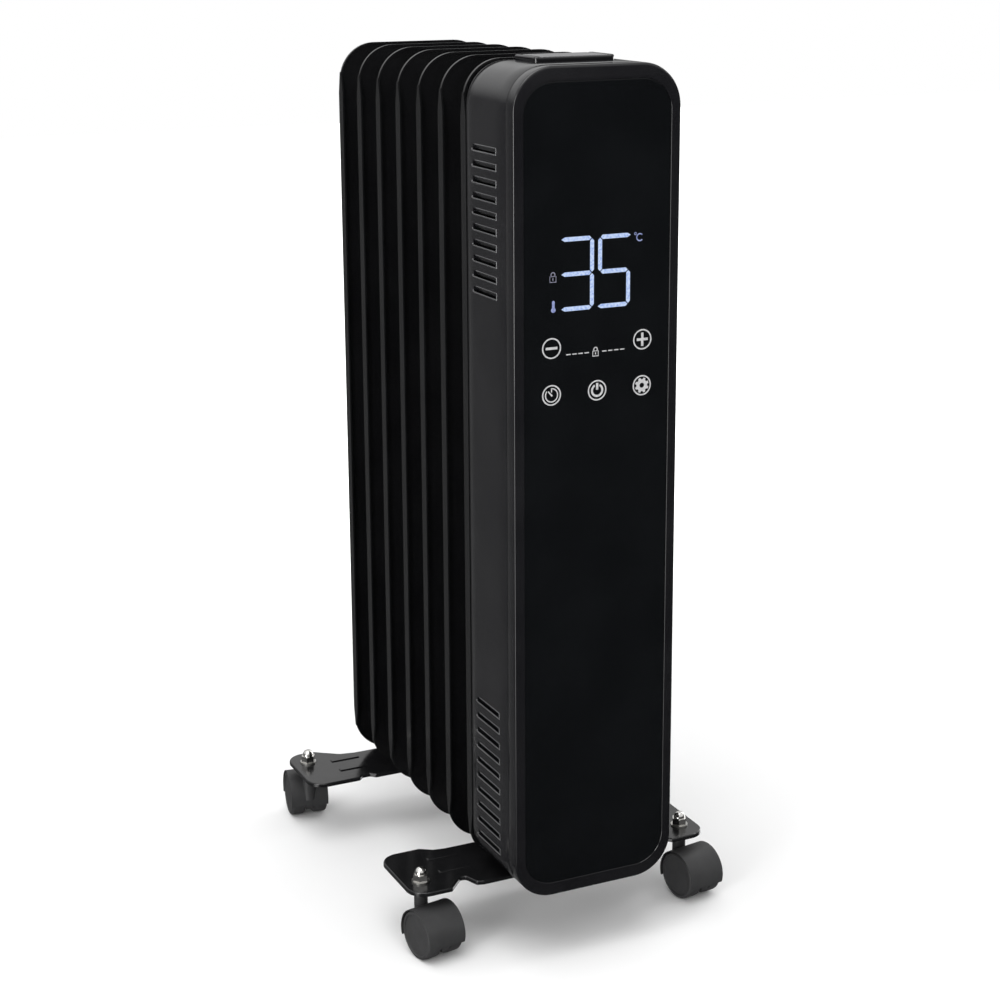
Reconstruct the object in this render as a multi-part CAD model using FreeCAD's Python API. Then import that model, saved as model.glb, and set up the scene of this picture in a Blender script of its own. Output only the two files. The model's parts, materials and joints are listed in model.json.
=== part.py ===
import FreeCAD
import Part
import math
import os

V = FreeCAD.Vector

# ---------------------------------------------------------------- driving dimensions (mm)
# Frame: X is the width, the control panel faces -Y, the fins run back along +Y, Z is up and the
# floor is z = 0.  Depths ("d") are measured back from the front face of the housing.
FRONT_Y = -168.4            # y of the front face of the housing
BODY_W = 124.0              # width of housing and fins
HOUSING_Z = 52.0            # underside of the housing
HOUSING_H = 580.0           # height of the housing
HOUSING_D = 74.0            # depth of the housing
HOUSING_R = 29.0            # corner radius of the housing seen from the front
WALL = 2.5                  # plastic wall thickness
BEZEL_D = 12.0              # depth of the front frame
GLASS_W = 109.0             # width of the glass panel
GLASS_H = 560.0             # height of the glass panel
GLASS_R = 21.5              # corner radius of the glass
GLASS_T = 4.0               # thickness of the glass
GLASS_IN = 0.6              # the glass sits this far behind the frame face

FIN_COUNT = 7
FIN_PITCH = 38.4            # spacing of the fins
FIN_D0 = 78.5               # depth of the mid plane of the first fin
FIN_Z = 50.0                # underside of the fins
FIN_H = 583.0               # height of a fin
FIN_R = 28.0                # corner radius of a fin
FIN_T = 1.6                 # two welded sheets
FLANGE_W = 8.0              # turned side edge of a fin
CHAMBER_T = 13.0            # thickness of the pressed oil channels
SHEET = 0.9                 # sheet thickness of a channel wall
HEADER_LOW = 138.0          # z of the lower oil header
HEADER_TOP = 568.0          # z of the upper oil header
NECK_R = 22.0               # outer radius of the header necks
NECK_BORE = 20.5            # bore of the header necks

PLATE_Z = 50.0              # top of the foot brackets
PLATE_T = 1.6               # bracket sheet thickness
PLATE_LIP = 3.0             # depth of the turned-down edge
BRACKET_D = (80.0, 287.0)   # depths of the middles of the front and rear brackets
RIB_OFF = ((-8, 14), (-12, 8))   # offsets of the pressed ribs from the bracket's middle
STEM_X = 107.5              # caster stem distance from the middle
STEM_OFF = 15.0             # caster stem offset from the bracket middle

WHEEL_R = 18.0              # caster wheel radius
WHEEL_W = 11.5              # width of one caster wheel
WHEEL_X = 3.4               # inner face of a wheel, from the middle of the caster
WEB_X = 3.0                 # half thickness of the caster's middle web
HOOD_R = 19.0               # caster hood radius
TRAIL = 15.5                # distance from stem to wheel axle
STEM_R = 3.2                # caster stem radius
THREAD_R = 3.0              # threaded end of the stem
SOCKET_R = 5.0              # outer radius of the stem socket
SOCKET_TOP = 43.6           # top of the stem socket
STEM_GAP = 0.05             # running clearance round the stem
AXLE_R = 2.5                # caster axle radius
AXLE_GAP = 0.05             # running clearance round the axle

HANDLE_W = 60.0             # width of the raised grip
HANDLE_D0 = 33.5            # front of the raised grip
HANDLE_D1 = 66.0            # rear of the raised grip
HANDLE_H = 3.8              # height of the grip above the housing
PAD_W = 49.0                # width of the pad let into the grip
PAD_D = (35.2, 64.3)        # depths of the pad's front and rear edges
GRIP_X = 27.0               # half width of the finger opening
GRIP_D = 45.0               # front of the finger opening, which runs out to the rear

BOARD_Z0 = 398.0            # lower edge of the display board
BOARD_Z1 = 543.0            # upper edge of the display board
ICON_X = 34.3               # touch pads either side of the middle
ICON_HIGH = 385.3           # upper row of touch pads above the glass's lower edge
ICON_LOW = 353.5            # lower row of touch pads above the glass's lower edge
DIGIT_LOW = 409.0           # feet of the digits above the glass's lower edge
DIGIT_H = 50.0              # height of a digit
DIGIT_W = 24.5              # width of a digit
DIGIT_X = (-27.0, 0.0)      # left edges of the two digits
SEG_W = 3.4                 # width of a digit's bars

VENT_D0 = 27.0              # front end of the vent slots
VENT_D1 = 63.0              # rear end of the vent slots
VENT_H = 4.0                # height of a vent slot
VENT_LIP = 0.6              # how far a slot's lower lip stands out
VENT_COUNT = 10             # slots in a group
VENT_GROUPS = ((428.0, 524.0), (28.0, 131.0))   # first and last slot above the housing's underside
SHIELD_D = 66.0             # front of the heat shield
SHIELD_T = 1.2              # thickness of the heat shield
SCREW_X = 52.0              # heat shield screws either side of the middle
SCREW_Z = (76.0, 230.0, 380.0, 530.0)
CORD_X = 18.0               # cord inlet
CORD_D = 32.0
CORD_BORE = 4.0             # radius of the cord inlet's bore

ELEMENT_R = 4.25            # radius of the heating element's tube
ELEMENT_X = 9.0             # half the distance between its legs
FLANGE_D0 = 56.2            # front of the element's flange

HOUSING_TOP = HOUSING_Z + HOUSING_H
FRAME_D = HOUSING_D - WALL  # front of the rear frame
GLASS_Z = HOUSING_Z + (HOUSING_H - GLASS_H) / 2
FIN_TOP = FIN_Z + FIN_H
HOOK_GAPS = (0, 5)          # a U-bolt hangs in the gap behind these fins
CASTER_YAW = {"fl": 10.0, "fr": 9.0, "rl": 172.0, "rr": 190.0}


# ---------------------------------------------------------------- small helpers
def y_of(d):
    """World y of a depth behind the front face."""
    return FRONT_Y + d


def box(x0, x1, d0, d1, z0, z1):
    return Part.makeBox(x1 - x0, d1 - d0, z1 - z0, V(x0, y_of(d0), z0))


def rod_y(x, d0, d1, z, r):
    return Part.makeCylinder(r, d1 - d0, V(x, y_of(d0), z), V(0, 1, 0))


def rod_x(x0, x1, d, z, r):
    return Part.makeCylinder(r, x1 - x0, V(x0, y_of(d), z), V(1, 0, 0))


def rod_z(x, d, z0, z1, r):
    return Part.makeCylinder(r, z1 - z0, V(x, y_of(d), z0), V(0, 0, 1))


def fuse(shapes):
    first, rest = shapes[0], list(shapes[1:])
    return first.fuse(rest).removeSplitter() if rest else first


def cut(shape, tools):
    return shape.cut(Part.makeCompound(list(tools)))


def rounded_slab(width, z0, z1, r, d0, d1):
    """Upright slab with four rounded corners, centred on x = 0."""
    slab = box(-width / 2, width / 2, d0, d1, z0, z1)
    corners = [e for e in slab.Edges if abs(e.tangentAt(e.FirstParameter).y) > 0.99]
    return slab.makeFillet(r, corners)


def edges_at_y(shape, d):
    """Edges that lie wholly in the plane at one depth."""
    y = y_of(d)
    return [e for e in shape.Edges
            if abs(e.BoundBox.YMin - y) < 1e-4 and abs(e.BoundBox.YMax - y) < 1e-4]


def edges_at_z(shape, z):
    return [e for e in shape.Edges
            if abs(e.BoundBox.ZMin - z) < 1e-4 and abs(e.BoundBox.ZMax - z) < 1e-4]


def hex_prism(x, d, z0, height, across_flats):
    r = across_flats / math.sqrt(3)
    pts = [V(x + r * math.cos(math.radians(60 * i)), y_of(d) + r * math.sin(math.radians(60 * i)), z0)
           for i in range(7)]
    return Part.Face(Part.makePolygon(pts)).extrude(V(0, 0, height))


def turned(shape, x, d, degrees):
    out = shape.copy()
    out.rotate(V(x, y_of(d), 0), V(0, 0, 1), degrees)
    return out


def wire_through(points, r):
    """Round wire made of straight runs with a ball at each bend."""
    parts = []
    for a, b in zip(points[:-1], points[1:]):
        parts.append(Part.makeCylinder(r, (b - a).Length, a, b - a))
    for p in points[1:-1]:
        parts.append(Part.makeSphere(r + 0.05, p))
    return fuse(parts)


# ---------------------------------------------------------------- front of the housing
def front_bezel():
    frame = rounded_slab(BODY_W, HOUSING_Z, HOUSING_TOP, HOUSING_R, 0, BEZEL_D)
    frame = frame.makeFillet(3.5, edges_at_y(frame, 0))
    frame = frame.makeChamfer(0.5, edges_at_y(frame, BEZEL_D))
    seat = rounded_slab(GLASS_W + 0.2, GLASS_Z - 0.1, GLASS_Z + GLASS_H + 0.1, GLASS_R,
                        -1, GLASS_IN + GLASS_T)
    window = rounded_slab(GLASS_W - 8, GLASS_Z + 4, GLASS_Z + GLASS_H - 4, GLASS_R - 4, -1, 20)
    hollow = rounded_slab(BODY_W - 2 * WALL, HOUSING_Z + WALL, HOUSING_TOP - WALL,
                          HOUSING_R - WALL, 7.6, 20)
    holes = [rod_y(x, 4.7, 8, z, 1.0) for x, z in board_screw_places()]
    return cut(frame, [seat, window, hollow] + holes)


def glass_panel():
    glass = rounded_slab(GLASS_W, GLASS_Z, GLASS_Z + GLASS_H, GLASS_R, GLASS_IN, GLASS_IN + GLASS_T)
    return glass.makeChamfer(0.4, edges_at_y(glass, GLASS_IN))


# ---------------------------------------------------------------- control electronics
def board_screw_places():
    return [(x, z) for x in (-52.3, 52.3) for z in (BOARD_Z0 + 6, (BOARD_Z0 + BOARD_Z1) / 2, BOARD_Z1 - 6)]


def display_board():
    board = box(-54.5, 54.5, 7.6, 9.2, BOARD_Z0, BOARD_Z1)
    return cut(board, [rod_y(x, 7, 10, z, 1.0) for x, z in board_screw_places()])


def board_screws():
    screws = []
    for x, z in board_screw_places():
        shank = rod_y(x, 5.2, 9.2, z, 1.0)
        head = rod_y(x, 9.2, 10.6, z, 2.0)
        slot = box(x - 1.4, x + 1.4, 10.0, 11.0, z - 0.25, z + 0.25)
        screws.append(fuse([shank, head]).cut(slot))
    return screws


def display_module():
    z0 = GLASS_Z + DIGIT_LOW
    return box(-40, 40, 5.1, 7.6, z0 - 6, z0 + DIGIT_H + 6)


def digit_segments(x0):
    """Seven bars with pointed ends making one figure eight."""
    z0 = GLASS_Z + DIGIT_LOW
    half = DIGIT_H / 2
    w = SEG_W

    def bar(cx, cz, length, upright):
        h = length / 2
        pts = [(-h, 0), (-h + w / 2, w / 2), (h - w / 2, w / 2), (h, 0), (h - w / 2, -w / 2),
               (-h + w / 2, -w / 2), (-h, 0)]
        if upright:
            pts = [(b, a) for a, b in pts]
        wire = Part.makePolygon([V(cx + a, y_of(GLASS_IN + GLASS_T), cz + b) for a, b in pts])
        return Part.Face(wire).extrude(V(0, 5.1 - GLASS_IN - GLASS_T, 0))

    xl = x0 + w / 2
    xr = x0 + DIGIT_W - w / 2
    across = DIGIT_W - w - 0.8
    up = half - w / 2 - 0.8
    bars = [bar((xl + xr) / 2, z0 + w / 2, across, False),
            bar((xl + xr) / 2, z0 + half, across, False),
            bar((xl + xr) / 2, z0 + DIGIT_H - w / 2, across, False)]
    low = z0 + w / 2 + (half - w / 2) / 2
    high = z0 + half + (half - w / 2) / 2
    for x in (xl, xr):
        bars.append(bar(x, low, up, True))
        bars.append(bar(x, high, up, True))
    return bars


def display_segments():
    return [b for x0 in DIGIT_X for b in digit_segments(x0)]


def touch_pads():
    places = [(-ICON_X, ICON_HIGH), (ICON_X, ICON_HIGH), (-ICON_X, ICON_LOW),
              (0, ICON_LOW), (ICON_X, ICON_LOW)]
    return [rod_y(x, GLASS_IN + GLASS_T, 7.6, GLASS_Z + z, 6.0) for x, z in places]


# ---------------------------------------------------------------- rear shell
def vent_levels():
    """Heights of the middles of the vent slots."""
    levels = []
    for first, last in VENT_GROUPS:
        step = (last - first) / (VENT_COUNT - 1)
        levels += [HOUSING_Z + first + step * i for i in range(VENT_COUNT)]
    return levels


def vent_slots():
    """The slots through both side walls."""
    return [box(x, x + WALL + 2, VENT_D0, VENT_D1, z - VENT_H / 2, z + VENT_H / 2)
            for z in vent_levels() for x in (-BODY_W / 2 - 1, BODY_W / 2 - WALL - 1)]


def vent_lip(side, z):
    """Lower lip of a slot, standing a little proud of the side wall."""
    x = side * BODY_W / 2
    back = x - side * WALL
    out = x + side * VENT_LIP
    pts = [V(back, 0, z - 1.2), V(x, 0, z - 1.2), V(out, 0, z - 0.4), V(out, 0, z), V(back, 0, z),
           V(back, 0, z - 1.2)]
    lip = Part.Face(Part.makePolygon(pts)).extrude(V(0, VENT_D1 - VENT_D0, 0))
    lip.translate(V(0, y_of(VENT_D0), 0))
    return lip


def grip_gap():
    """The finger opening under the grip, open to the top and to the rear."""
    return box(-GRIP_X, GRIP_X, GRIP_D, HOUSING_D + 1, HOUSING_TOP - 30, HOUSING_TOP + 1)


def rear_housing():
    """The sleeve round the controls, open to the front and to the rear."""
    shell = rounded_slab(BODY_W, HOUSING_Z, HOUSING_TOP, HOUSING_R, BEZEL_D, FRAME_D)
    shell = shell.makeChamfer(0.5, edges_at_y(shell, BEZEL_D))
    hollow = rounded_slab(BODY_W - 2 * WALL, HOUSING_Z + WALL, HOUSING_TOP - WALL,
                          HOUSING_R - WALL, BEZEL_D - 1, HOUSING_D)
    cord = rod_z(CORD_X, CORD_D, HOUSING_Z - 1, HOUSING_Z + 4, 7.0)
    shell = cut(shell, [hollow, grip_gap(), cord] + vent_slots())
    return fuse([shell] + [vent_lip(side, z - VENT_H / 2) for z in vent_levels() for side in (-1, 1)])


def shield_screw_places():
    return [(x, z) for x in (-SCREW_X, SCREW_X) for z in SCREW_Z]


def rear_frame():
    """Rim that closes the rear of the sleeve, with posts for the heat shield."""
    rim = rounded_slab(BODY_W, HOUSING_Z, HOUSING_TOP, HOUSING_R, FRAME_D, HOUSING_D)
    rim = rim.makeFillet(2.0, edges_at_y(rim, HOUSING_D))
    window = rounded_slab(92, HOUSING_Z + 20, HOUSING_TOP - 24, 14, FRAME_D - 1, HOUSING_D + 1)
    rim = cut(rim, [window, grip_gap()])
    posts = [rod_y(x, SHIELD_D + SHIELD_T, FRAME_D, z, 4.5) for x, z in shield_screw_places()]
    rim = fuse([rim] + posts)
    return cut(rim, [rod_y(x, SHIELD_D, HOUSING_D - 1.2, z, 1.5) for x, z in shield_screw_places()])


def housing_screws():
    screws = []
    for x, z in shield_screw_places():
        shank = rod_y(x, SHIELD_D, HOUSING_D - 1.8, z, 1.5)
        head = rod_y(x, SHIELD_D - 2.0, SHIELD_D, z, 3.0)
        slots = [box(x - 2.0, x + 2.0, SHIELD_D - 3, SHIELD_D - 1.0, z - 0.4, z + 0.4),
                 box(x - 0.4, x + 0.4, SHIELD_D - 3, SHIELD_D - 1.0, z - 2.0, z + 2.0)]
        screws.append(cut(fuse([shank, head]), slots))
    return screws


def heat_shield():
    sheet = rounded_slab(116, HOUSING_Z + 4, HOUSING_TOP - 42, 25, SHIELD_D, SHIELD_D + SHIELD_T)
    holes = [rod_y(x, SHIELD_D - 1, SHIELD_D + 3, z, 1.5) for x, z in shield_screw_places()]
    holes.append(rod_y(0, SHIELD_D - 1, SHIELD_D + 3, HEADER_LOW, 24.6))
    holes.append(rod_y(0, SHIELD_D - 1, SHIELD_D + 3, HEADER_TOP - 4, 3.0))
    vents = [box(x - 14, x + 14, SHIELD_D - 1, SHIELD_D + 3, z - 2, z + 2)
             for x in (-26, 26) for z in range(430, 500, 12)]
    return cut(sheet, holes + vents)


def shield_screw():
    z = HEADER_TOP - 4
    shank = rod_y(0, SHIELD_D, SHIELD_D + 5, z, 3.0)
    head = rod_y(0, SHIELD_D - 4, SHIELD_D, z, 5.0)
    socket = rod_y(0, SHIELD_D - 5, SHIELD_D - 1.5, z, 2.4)
    return fuse([shank, head]).cut(socket)


# ---------------------------------------------------------------- carrying grip
def upright_edges(shape):
    return [e for e in shape.Edges if abs(e.tangentAt(e.FirstParameter).z) > 0.99]


def pad_block(z0, z1):
    pad = box(-PAD_W / 2, PAD_W / 2, PAD_D[0], PAD_D[1], z0, z1)
    return pad.makeFillet(1.5, upright_edges(pad))


def top_handle():
    """Low grip plate that spans the finger opening, with a seat for its pad."""
    z0 = HOUSING_TOP
    block = box(-HANDLE_W / 2, HANDLE_W / 2, HANDLE_D0, HANDLE_D1, z0, z0 + HANDLE_H)
    block = block.makeFillet(3.5, upright_edges(block))
    block = block.makeFillet(1.2, edges_at_z(block, z0 + HANDLE_H))
    return block.cut(pad_block(z0 + HANDLE_H - 1.4, z0 + HANDLE_H + 1))


def handle_pad():
    z1 = HOUSING_TOP + HANDLE_H - 0.2
    return pad_block(z1 - 1.2, z1)


def grip_cup():
    """Pocket behind and under the grip that the fingers reach into, open to the top and to the rear."""
    z1 = HOUSING_TOP - WALL
    outer = box(-GRIP_X - 1.5, GRIP_X + 1.5, GRIP_D - 1.5, FRAME_D, z1 - 30, z1)
    return outer.cut(box(-GRIP_X, GRIP_X, GRIP_D, HOUSING_D, z1 - 28.5, z1 + 1))


# ---------------------------------------------------------------- parts behind the panel
def power_board():
    board = box(-42, 42, 54.4, 56.0, 215, 335)
    return cut(board, [rod_y(x, 54, 57, z, 1.5) for x, z in standoff_places()])


def standoff_places():
    return [(x, z) for x in (-37, 37) for z in (220, 330)]


def board_standoffs():
    posts = []
    for x, z in standoff_places():
        post = rod_y(x, 56.0, SHIELD_D, z, 3.0)
        pin = rod_y(x, 52.8, 56.0, z, 1.5)
        cap = rod_y(x, 52.4, 54.4, z, 2.8)
        posts.append(fuse([post, pin, cap]))
    return posts


def relays():
    return [box(x - 10, x + 10, 39, 54.4, 300, 316) for x in (-16, 16)]


def transformer():
    core = box(-18, 18, 30, 54.4, 240, 272)
    coil = box(-13, 13, 26, 54.4, 244, 268)
    return fuse([core, coil])


def tilt_switch():
    case = box(-8, 8, 38, 54.4, 280, 296)
    return case.makeFillet(1.5, [e for e in case.Edges if abs(e.tangentAt(e.FirstParameter).y) > 0.99])


def thermal_cutout():
    body = rod_y(34, SHIELD_D - 8, SHIELD_D, 545, 8)
    ear = box(22, 46, SHIELD_D - 1.0, SHIELD_D, 541, 549)
    blades = [box(x - 2.4, x + 2.4, SHIELD_D - 17, SHIELD_D - 8, 544.6, 545.4) for x in (30, 38)]
    return fuse([body, ear] + blades)


def temperature_probe():
    foot = box(-BODY_W / 2 + WALL, -BODY_W / 2 + WALL + 8, 20, 25, 92, 104)
    bulb = rod_y(-BODY_W / 2 + WALL + 5, 25, 43, 98, 2.5)
    return fuse([foot, bulb])


def terminal_block():
    body = box(-20, 20, 50, SHIELD_D, 64, 80)
    wells = [box(x - 3, x + 3, 49, 60, 67, 77) for x in (-12, 0, 12)]
    return cut(body, wells)


def cord_gland():
    flange = rod_z(CORD_X, CORD_D, HOUSING_Z - 1.2, HOUSING_Z, 9.0)
    barrel = rod_z(CORD_X, CORD_D, HOUSING_Z, HOUSING_Z + 12, 7.0)
    nut = hex_prism(CORD_X, CORD_D, HOUSING_Z + WALL, 4, 19)
    bore = rod_z(CORD_X, CORD_D, HOUSING_Z - 3, HOUSING_Z + 14, CORD_BORE)
    return fuse([flange, barrel, nut]).cut(bore)


# ---------------------------------------------------------------- heating element
def heating_element():
    z = HEADER_LOW
    bend_y = y_of(FIN_D0 + FIN_PITCH * 6 - 24)
    legs = [Part.makeCylinder(ELEMENT_R, bend_y - y_of(FLANGE_D0), V(x, y_of(FLANGE_D0), z), V(0, 1, 0))
            for x in (-ELEMENT_X, ELEMENT_X)]
    bend = Part.makeTorus(ELEMENT_X, ELEMENT_R, V(0, bend_y, z), V(0, 0, 1))
    half = Part.makeBox(60, 60, 60, V(-30, bend_y, z - 30))
    flange = rod_y(0, FLANGE_D0, FLANGE_D0 + 6, z, 24)
    thread = rod_y(0, FLANGE_D0 + 6, FLANGE_D0 + 16, z, 19)
    return fuse([flange, thread] + legs + [bend.common(half)])


def element_gasket():
    ring = rod_y(0, FLANGE_D0 + 6, FLANGE_D0 + 7.4, HEADER_LOW, 23.5)
    return ring.cut(rod_y(0, FLANGE_D0 + 5, FLANGE_D0 + 8, HEADER_LOW, 19.0))


def terminal_insulators():
    items = []
    for x in (-ELEMENT_X, ELEMENT_X):
        bead = rod_y(x, FLANGE_D0 - 5, FLANGE_D0, HEADER_LOW, 4.0)
        pin = rod_y(x, FLANGE_D0 - 12, FLANGE_D0 - 5, HEADER_LOW, 1.6)
        items.append(fuse([bead, pin]))
    return items


def wiring():
    """Leads from the terminal block and the relays to the element and the cut-out."""
    tip = FLANGE_D0 - 12
    z = HEADER_LOW
    lead_a = wire_through([V(-12, y_of(59), 72), V(-12, y_of(46), 72), V(-12, y_of(42), 104),
                           V(-9, y_of(42), z), V(-9, y_of(tip), z)], 1.4)
    lead_b = wire_through([V(9, y_of(tip), z), V(9, y_of(41), z), V(9, y_of(41), z + 30),
                           V(47, y_of(46), 205), V(47, y_of(46), 545), V(38, y_of(46), 545),
                           V(38, y_of(49), 545)], 1.4)
    lead_c = wire_through([V(30, y_of(49), 545), V(30, y_of(44), 545), V(24, y_of(44), 520),
                           V(24, y_of(36), 340), V(16, y_of(36), 308), V(16, y_of(39), 308)], 1.4)
    return [lead_a, lead_b, lead_c]


# ---------------------------------------------------------------- oil filled fins
def fin_outline(d0, d1, inset):
    return rounded_slab(BODY_W - 2 * inset, FIN_Z + inset, FIN_TOP - inset, FIN_R - inset, d0, d1)


def side_flange(side, d):
    """Turned edge along the straight side of a fin, tapering away at both ends."""
    z0 = FIN_Z + FIN_R - 6
    z1 = FIN_TOP - FIN_R + 6
    w = FLANGE_W / 2
    y = y_of(d)
    pts = [V(0, y - 1.2, z0), V(0, y + 1.2, z0), V(0, y + w, z0 + 16), V(0, y + w, z1 - 16),
           V(0, y + 1.2, z1), V(0, y - 1.2, z1), V(0, y - w, z1 - 16), V(0, y - w, z0 + 16),
           V(0, y - 1.2, z0)]
    strip = Part.Face(Part.makePolygon(pts)).extrude(V(1.4, 0, 0))
    strip.translate(V(BODY_W / 2 - 1.4 if side > 0 else -BODY_W / 2, 0, 0))
    return strip


def channel(x, half_w, half_t, d, z0, z1):
    """Upright oil channel with rounded long edges."""
    body = box(x - half_w, x + half_w, d - half_t, d + half_t, z0, z1)
    long_edges = [e for e in body.Edges if abs(e.tangentAt(e.FirstParameter).z) > 0.99]
    return body.makeFillet(half_t * 0.8, long_edges)


def chamber(d, shrink):
    half_t = CHAMBER_T / 2 - shrink
    columns = [channel(x, 10.5 - shrink, half_t, d, HEADER_LOW, HEADER_TOP) for x in (-24, 0, 24)]
    heads = []
    for z in (HEADER_LOW, HEADER_TOP):
        head = rod_y(0, d - half_t, d + half_t, z, 36 - shrink)
        rims = [e for e in head.Edges if e.Closed]
        heads.append(head.makeFillet(half_t * 0.6, rims))
    return fuse(columns + heads)


def fin(i):
    d = FIN_D0 + FIN_PITCH * i
    plate = fin_outline(d - FIN_T / 2, d + FIN_T / 2, 0)
    hem = fin_outline(d - 1.2, d + 1.2, 0).cut(fin_outline(d - 3, d + 3, 1.8))
    first = i == 0
    last = i == FIN_COUNT - 1
    front = FLANGE_D0 + 7.4 if first else d - FIN_PITCH / 2
    back = d + CHAMBER_T / 2 if last else d + FIN_PITCH / 2
    necks = [rod_y(0, front, back, HEADER_LOW, NECK_R)]
    bores = [rod_y(0, front - 1 if first else front, back - SHEET if last else back, HEADER_LOW, NECK_BORE)]
    top_front = SHIELD_D + SHIELD_T if first else front
    necks.append(rod_y(0, top_front, back, HEADER_TOP, NECK_R))
    top_bore_front = top_front + 5 if first else top_front
    bores.append(rod_y(0, top_bore_front, back - SHEET if last else back, HEADER_TOP, NECK_BORE))
    if first:
        necks.append(rod_y(0, front, front + 8, HEADER_LOW, 24.5))
        bores.append(rod_y(0, SHIELD_D, SHIELD_D + 5, HEADER_TOP - 4, 3.0))
        bores[0] = fuse([rod_y(0, front - 1, front + 8.6, HEADER_LOW, 19.0),
                         rod_y(0, front + 8.6, back, HEADER_LOW, NECK_BORE)])
    body = fuse([plate, hem, side_flange(-1, d), side_flange(1, d), chamber(d, 0)] + necks)
    holes = bores + [chamber(d, SHEET)]
    if last:
        holes.append(rod_y(0, back - 3, back + 3, HEADER_TOP, 5.0))
    return body.cut(fuse(holes))


def oil_plug():
    d = FIN_D0 + FIN_PITCH * (FIN_COUNT - 1) + CHAMBER_T / 2
    shank = rod_y(0, d - 4, d, HEADER_TOP, 5.0)
    head = rod_y(0, d, d + 4, HEADER_TOP, 8.0)
    head = head.makeFillet(1.2, edges_at_y(head, d + 4))
    return fuse([shank, head])


# ---------------------------------------------------------------- foot brackets
def bracket_outline(which):
    """Right half, from the middle outwards along the front edge, as (x, offset from the bracket middle)."""
    if which == 0:
        return [(0, -34.5), (66, -34.5), (71, -33), (75, -22), (79, -21.5), (91, -34.5),
                (121, -34.5), (121, 34.5), (88, 34.5), (79, 28.5), (70, 27), (0, 27)]
    return [(0, -32), (66, -32), (70, -28), (76, -28), (80, -32),
            (121, -32), (121, 34.5), (97, 34.5), (87, 27), (78, 20.5), (66, 18), (0, 18)]


def bracket_solid(which):
    """A thick blank of the bracket's outline, with its corners rounded."""
    right = bracket_outline(which)
    left = [(-x, o) for x, o in reversed(right)]
    pts = [V(x, o, 0) for x, o in right + left[1:-1]]
    solid = Part.Face(Part.makePolygon(pts + [pts[0]])).extrude(V(0, 0, 10))
    solid = solid.makeFillet(14, [e for e in upright_edges(solid) if abs(e.BoundBox.XMin) > 120])
    steps = [e for e in upright_edges(solid) if 60 < abs(e.BoundBox.XMin) < 98]
    return solid.makeFillet(2.2, steps)


def bracket_face(which, inset):
    base = [f for f in bracket_solid(which).Faces if f.BoundBox.ZMax < 1e-4][0]
    return base.makeOffset2D(-inset) if inset else base


def foot_bracket(which):
    """Pressed plate with a turned-down edge, ribs beside the casters, and holes for stems and U-bolt."""
    d_mid = BRACKET_D[which]
    hook = hook_depths()[which] - d_mid
    stem = STEM_OFF * (2 * which - 1)
    z_low = PLATE_Z - PLATE_LIP
    body = bracket_face(which, 0).extrude(V(0, 0, PLATE_LIP))
    body = body.makeFillet(1.0, edges_at_z(body, PLATE_LIP))
    pocket = bracket_face(which, PLATE_T).extrude(V(0, 0, PLATE_LIP - PLATE_T))
    body = body.cut(pocket)
    ribs = []
    for x in (-78, 78):
        for o in RIB_OFF[which]:
            rib = Part.makeBox(24, 4, 1.6, V(x - 12, o - 2, PLATE_LIP - 0.8))
            ribs.append(rib.makeFillet(0.7, [e for e in rib.Edges if e.BoundBox.ZMin > PLATE_LIP]))
    body = fuse([body] + ribs)
    holes = [Part.makeCylinder(THREAD_R, 20, V(x, stem, -5), V(0, 0, 1)) for x in (-STEM_X, STEM_X)]
    holes += [Part.makeCylinder(2.5, 20, V(x, hook, -5), V(0, 0, 1)) for x in (-24.5, 24.5)]
    body = cut(body, holes)
    body.translate(V(0, y_of(d_mid), z_low))
    return body


def hook_depths():
    return [FIN_D0 + FIN_PITCH * (g + 0.5) for g in HOOK_GAPS]


def u_bolts():
    bolts = []
    for d in hook_depths():
        legs = [rod_z(x, d, PLATE_Z - 12, HEADER_LOW, 2.5) for x in (-24.5, 24.5)]
        ring = Part.makeTorus(24.5, 2.5, V(0, y_of(d), HEADER_LOW), V(0, 1, 0))
        top = Part.makeBox(60, 20, 40, V(-30, y_of(d) - 10, HEADER_LOW))
        bolts.append(fuse(legs + [ring.common(top)]))
    return bolts


def u_bolt_nuts():
    nuts = []
    for d in hook_depths():
        for x in (-24.5, 24.5):
            z1 = PLATE_Z - PLATE_T
            washer = rod_z(x, d, z1 - 1.0, z1, 4.7)
            nut = fuse([washer, hex_prism(x, d, z1 - 5.0, 4.0, 8.0)])
            nuts.append(nut.cut(rod_z(x, d, z1 - 8, z1 + 2, 2.5)))
    return nuts


# ---------------------------------------------------------------- casters
def caster_places():
    front = BRACKET_D[0] - STEM_OFF
    rear = BRACKET_D[1] + STEM_OFF
    return {"fl": (-STEM_X, front), "fr": (STEM_X, front), "rl": (-STEM_X, rear), "rr": (STEM_X, rear)}


def caster_stems():
    stems = []
    z1 = PLATE_Z - PLATE_T
    for x, d in caster_places().values():
        post = rod_z(x, d, 29.6, z1, STEM_R)
        collar = rod_z(x, d, SOCKET_TOP + 0.4, z1, SOCKET_R)
        thread = rod_z(x, d, z1, PLATE_Z + 8, THREAD_R)
        stems.append(fuse([post, collar, thread]))
    return stems


def stem_washers():
    rings = []
    for x, d in caster_places().values():
        ring = rod_z(x, d, PLATE_Z, PLATE_Z + 1.2, 6.5)
        rings.append(ring.cut(rod_z(x, d, PLATE_Z - 1, PLATE_Z + 3, THREAD_R)))
    return rings


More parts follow.
